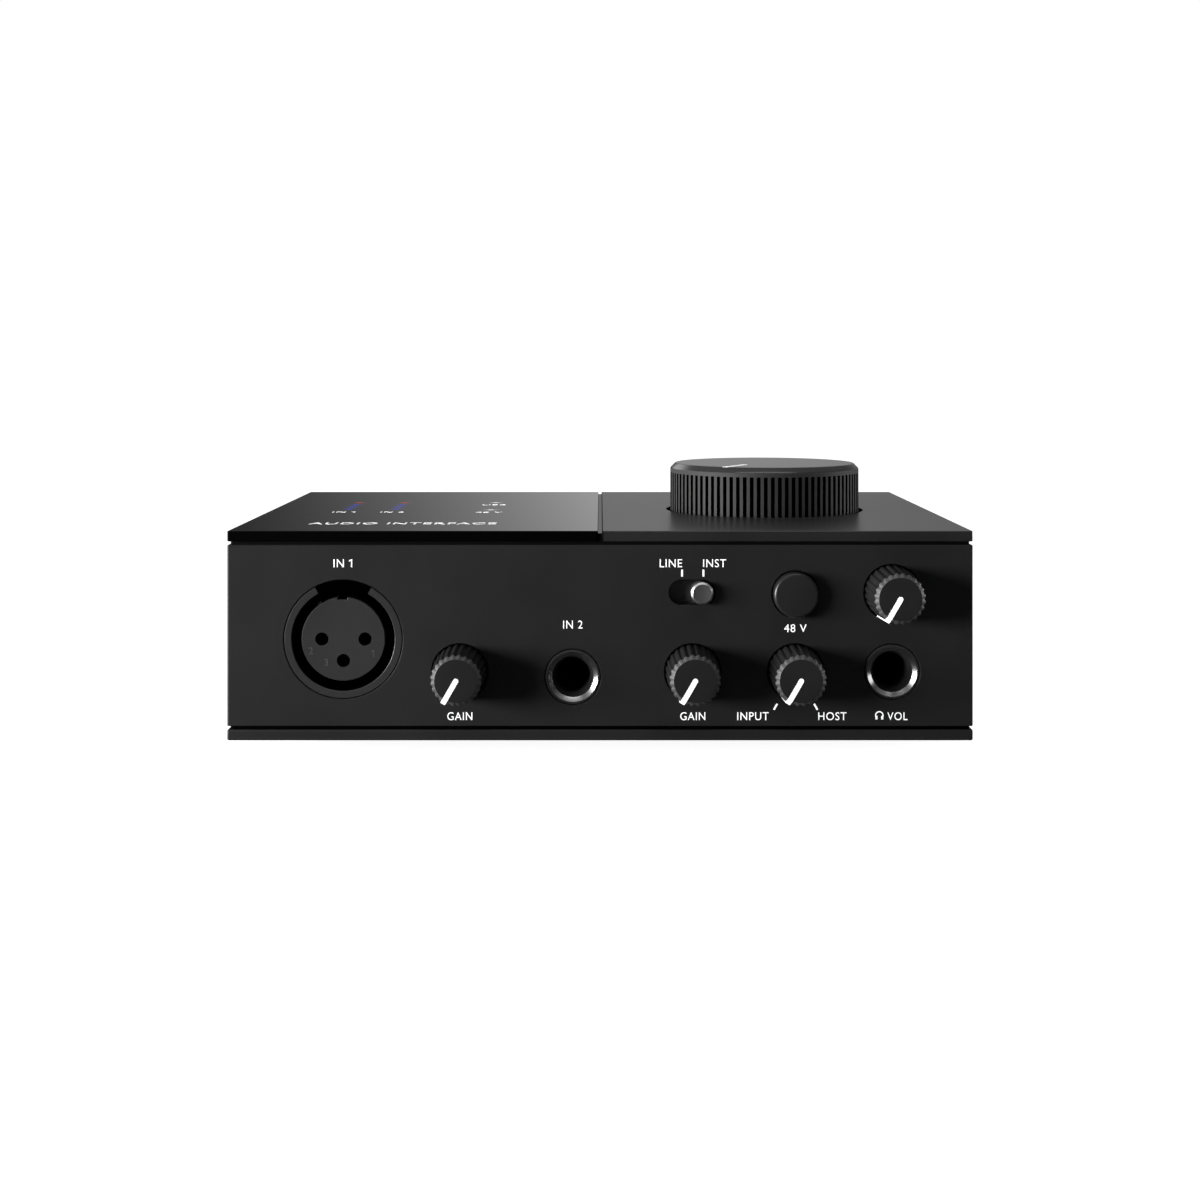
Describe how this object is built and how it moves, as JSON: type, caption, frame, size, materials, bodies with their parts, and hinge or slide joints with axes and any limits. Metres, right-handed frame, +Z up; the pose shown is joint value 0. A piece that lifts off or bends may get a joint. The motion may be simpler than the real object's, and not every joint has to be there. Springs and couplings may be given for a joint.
{
  "type": "audio interface",
  "caption": "Desktop USB audio interface: flat black case with a large top volume knob, microphone and jack sockets, small front knobs, a push button and a slide switch.",
  "frame": {"origin": "on the resting surface, under the middle of the whole object's box", "axes": "+X to the right seen from the front, +Y from front to back, +Z up"},
  "size_m": [0.14, 0.1164, 0.0525],
  "materials": {
    "case_black": "fine matte texture",
    "panel_black": "fine matte texture",
    "gloss_black": "high gloss",
    "carrier_black": "matte",
    "foot_rubber": "matte",
    "screw_black": "black zinc",
    "screw_steel": "satin",
    "board_green": "solder mask",
    "brass": "satin",
    "component_black": "moulded",
    "capacitor_can": "satin",
    "lamp_white": "clear resin",
    "light_blue": "clear, lit from below",
    "light_red": "clear, lit from below",
    "light_white": "clear, lit from below",
    "socket_black_metal": "satin black plating",
    "socket_black": "moulded",
    "contact_gold": "gold plated",
    "bushing_chrome": "polished dark chrome",
    "nickel": "bright nickel",
    "insulator_white": "moulded",
    "insulator_red": "moulded",
    "knob_black": "matte",
    "pointer_white": "moulded inlay",
    "shaft_steel": "turned",
    "slide_metal": "dark anodised with a bright turned rim"
  },
  "bodies": {
    "chassis": {"housing": "case_black", "bottom_cover": "case_black", "matte_top_panel": "panel_black", "gloss_top_panel": "gloss_black", "top_carrier": "carrier_black", "rubber_feet": "foot_rubber", "case_screws": "screw_black", "board_screws": "screw_steel", "main_board": "board_green", "control_board": "board_green", "top_board": "board_green", "board_spacers": "brass", "board_headers": "component_black", "chips": "component_black", "capacitors": "capacitor_can", "board_lights": "lamp_white", "level_light_guides": "light_blue", "peak_light_guides": "light_red", "status_light_guides": "light_white", "xlr_shell": "socket_black_metal", "xlr_insert": "socket_black", "xlr_contacts": "contact_gold", "in_2_jack_case": "socket_black", "in_2_jack_bushing": "bushing_chrome", "in_2_jack_contacts": "contact_gold", "headphone_jack_case": "socket_black", "headphone_jack_bushing": "bushing_chrome", "headphone_jack_contacts": "contact_gold", "usb_shell": "nickel", "usb_insulator": "socket_black", "usb_contacts": "contact_gold", "rca_block": "socket_black", "rca_sleeves": "nickel", "rca_left_insulator": "insulator_white", "rca_right_insulator": "insulator_red", "rca_contacts": "contact_gold", "control_pots": "component_black", "volume_pot": "component_black", "phantom_switch": "component_black", "slide_switch": "component_black"},
    "volume_control": {"volume_knob": "knob_black", "volume_pointer": "pointer_white", "volume_shaft": "shaft_steel"},
    "gain_1_control": {"gain_1_knob": "knob_black", "gain_1_pointer": "pointer_white", "gain_1_shaft": "shaft_steel"},
    "gain_2_control": {"gain_2_knob": "knob_black", "gain_2_pointer": "pointer_white", "gain_2_shaft": "shaft_steel"},
    "mix_control": {"mix_knob": "knob_black", "mix_pointer": "pointer_white", "mix_shaft": "shaft_steel"},
    "headphone_control": {"headphone_knob": "knob_black", "headphone_pointer": "pointer_white", "headphone_shaft": "shaft_steel"},
    "phantom_control": {"phantom_button": "knob_black", "phantom_plunger": "socket_black"},
    "input_switch": {"slide_button": "slide_metal", "slide_carriage": "socket_black"}
  },
  "joints": [
    {"name": "volume_turn", "type": "hinge", "parent": "chassis", "child": "volume_control", "pos_m": [0.0352, 0.0009, 0.04245], "axis": [0, 0, -1], "range_deg": [0, 300]},
    {"name": "gain_1_turn", "type": "hinge", "parent": "chassis", "child": "gain_1_control", "pos_m": [-0.0263, -0.04835, 0.016], "axis": [0, 1, 0], "range_deg": [0, 300]},
    {"name": "gain_2_turn", "type": "hinge", "parent": "chassis", "child": "gain_2_control", "pos_m": [0.0174, -0.04835, 0.016], "axis": [0, 1, 0], "range_deg": [0, 300]},
    {"name": "mix_turn", "type": "hinge", "parent": "chassis", "child": "mix_control", "pos_m": [0.0367, -0.04835, 0.016], "axis": [0, 1, 0], "range_deg": [0, 300]},
    {"name": "headphone_turn", "type": "hinge", "parent": "chassis", "child": "headphone_control", "pos_m": [0.0548, -0.04835, 0.0309], "axis": [0, 1, 0], "range_deg": [0, 300]},
    {"name": "phantom_press", "type": "slide", "parent": "chassis", "child": "phantom_control", "axis": [0, 1, 0], "range_m": [0, 0.0015], "stiffness_N_per_m": 400, "springref_m": -0.001},
    {"name": "input_slide", "type": "slide", "parent": "chassis", "child": "input_switch", "axis": [-1, 0, 0], "range_m": [0, 0.0038]}
  ]
}
